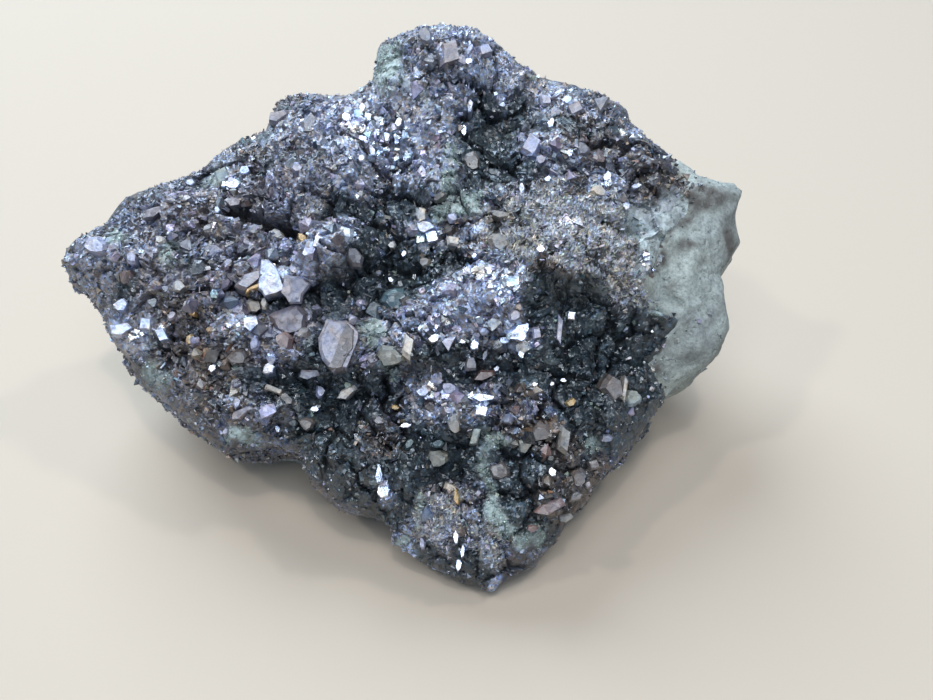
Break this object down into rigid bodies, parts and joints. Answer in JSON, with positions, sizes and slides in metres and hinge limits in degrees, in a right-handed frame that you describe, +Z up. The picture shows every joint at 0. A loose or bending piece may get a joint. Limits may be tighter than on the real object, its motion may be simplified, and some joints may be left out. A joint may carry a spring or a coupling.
{
  "type": "sphalerite and galena specimen",
  "caption": "Hand specimen: a broken lump of grey-green host rock whose leaning front face carries a crust of intergrown dark sphalerite and bright galena crystals.",
  "frame": {"origin": "middle of the bounding box, on the surface that the specimen rests on", "axes": "+Z up, -Y towards the foot of the crystal face, which leans back by 33 degrees, +X to its right, where the bare rock shows"},
  "size_m": [0.0498, 0.036, 0.0262],
  "materials": {
    "host_rock": "matte, fine-grained, grey-green",
    "crystals": "dark crystals, bright metallic to resinous faces"
  },
  "bodies": {
    "root": {"matrix_rock": "host_rock", "crystal_crust": "crystals"}
  },
  "joints": []
}
